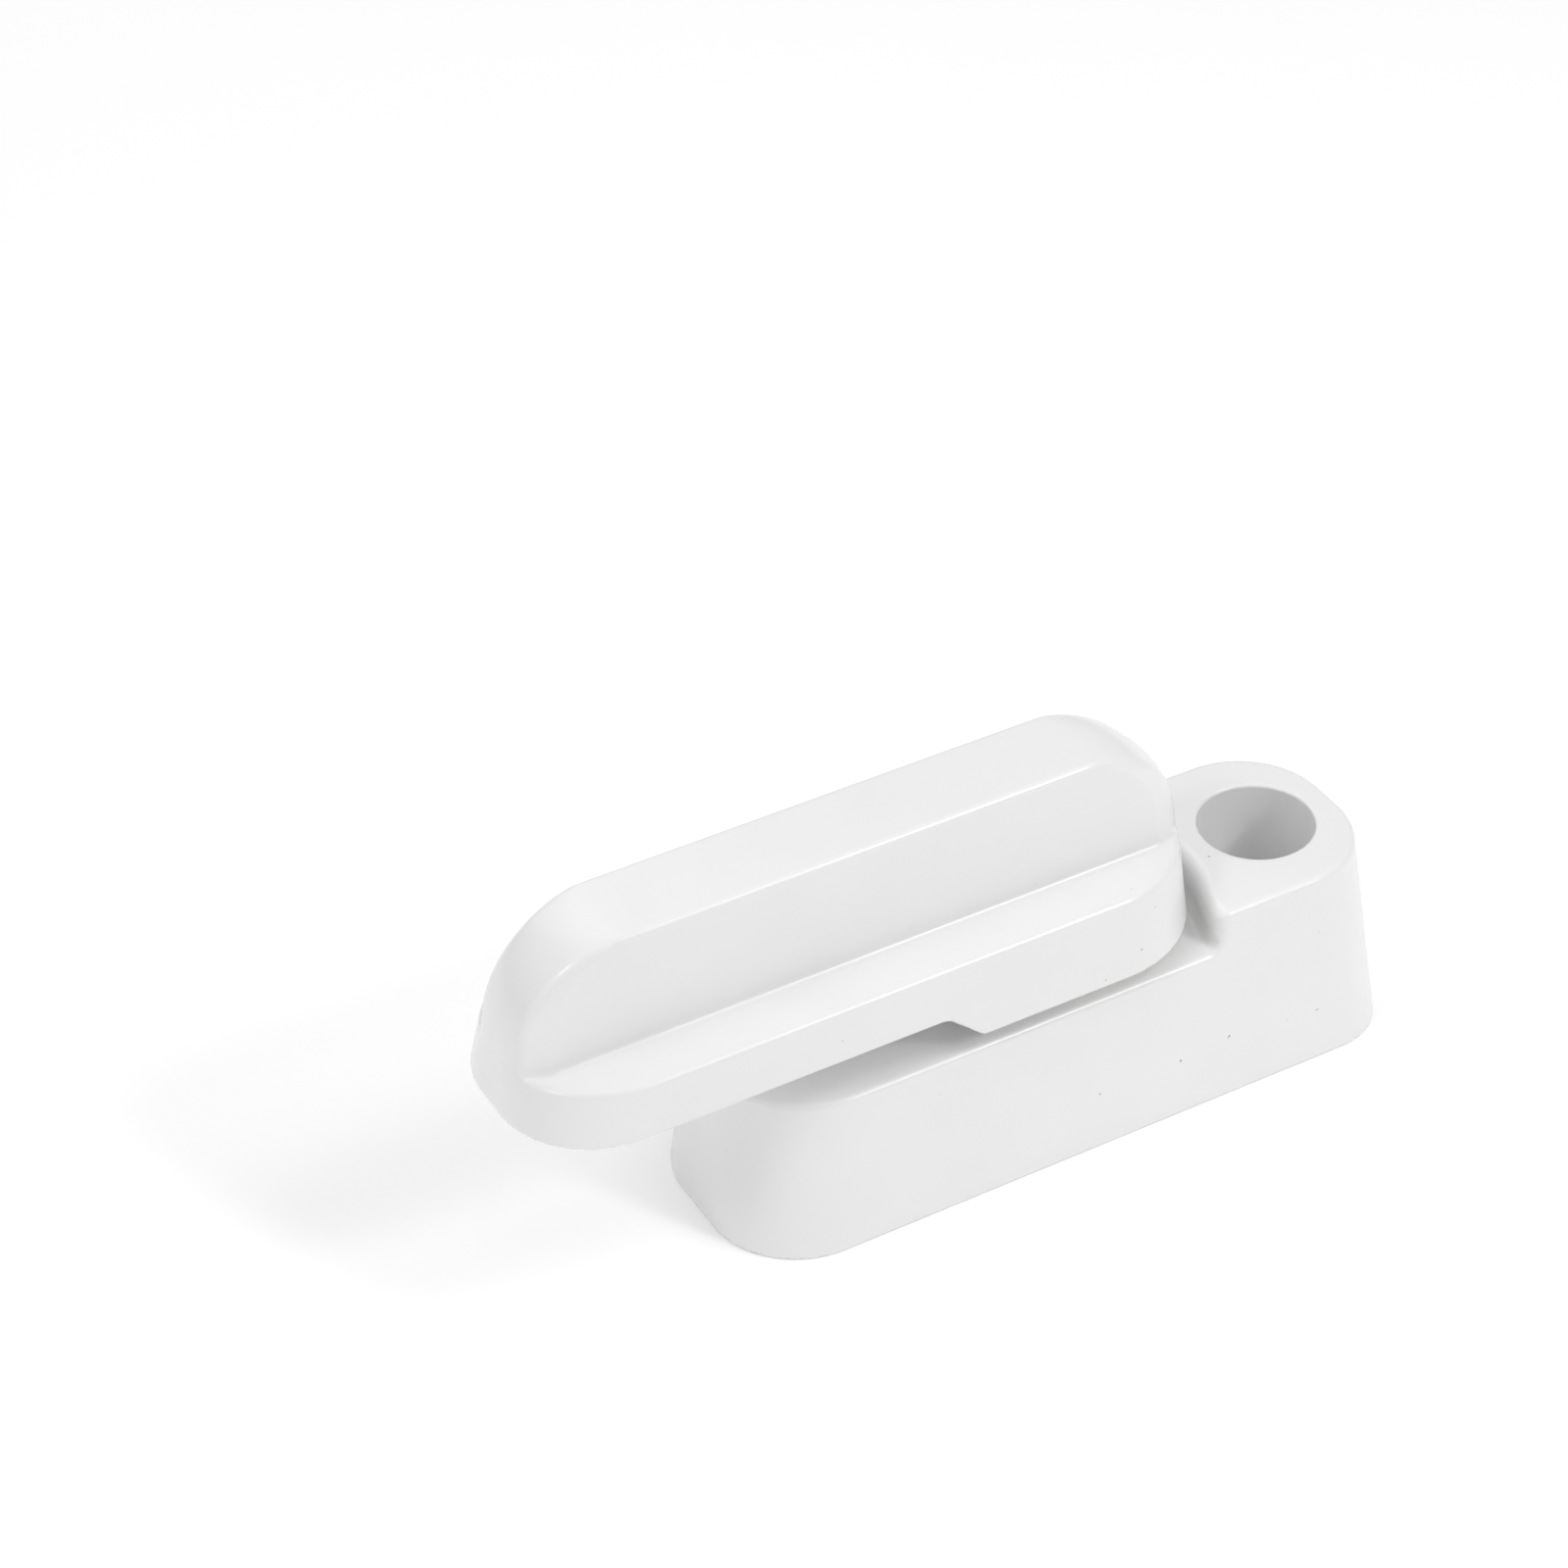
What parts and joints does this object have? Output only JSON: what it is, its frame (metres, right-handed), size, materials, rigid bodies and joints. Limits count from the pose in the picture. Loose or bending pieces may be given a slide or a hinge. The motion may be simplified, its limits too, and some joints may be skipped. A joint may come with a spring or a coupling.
{
  "type": "swing-arm window lock",
  "caption": "Surface-mounted swing-arm window lock: a cast base screwed to the frame and a cast arm that turns over the sash on a sprung pin.",
  "frame": {"origin": "on the mounting face, in the middle of the lock's overall length and width, on the pad where the base's ribs cross", "axes": "+X along the lock from the arm's free end towards the screw boss, +Y across it, +Z out of the mounting face towards the grip ridge"},
  "size_m": [0.076, 0.02, 0.0325],
  "materials": {
    "white_coating": "smooth glossy white powder coating on a zinc casting",
    "zinc_plate": "bright zinc plated, turned",
    "spring_steel": "oiled spring steel",
    "acetal": "moulded natural acetal"
  },
  "bodies": {
    "base": {"base_body": "white_coating", "thrust_washer": "acetal", "deck_washer": "zinc_plate", "coil_spring": "spring_steel"},
    "arm": {"swing_arm": "white_coating", "pivot_pin": "zinc_plate", "retaining_washer": "zinc_plate", "e_clip": "spring_steel"}
  },
  "joints": [
    {"name": "arm_swing", "type": "hinge", "parent": "base", "child": "arm", "pos_m": [0.0107, 0, 0.015], "axis": [0, 0, 1], "range_deg": [-90, 90]}
  ]
}
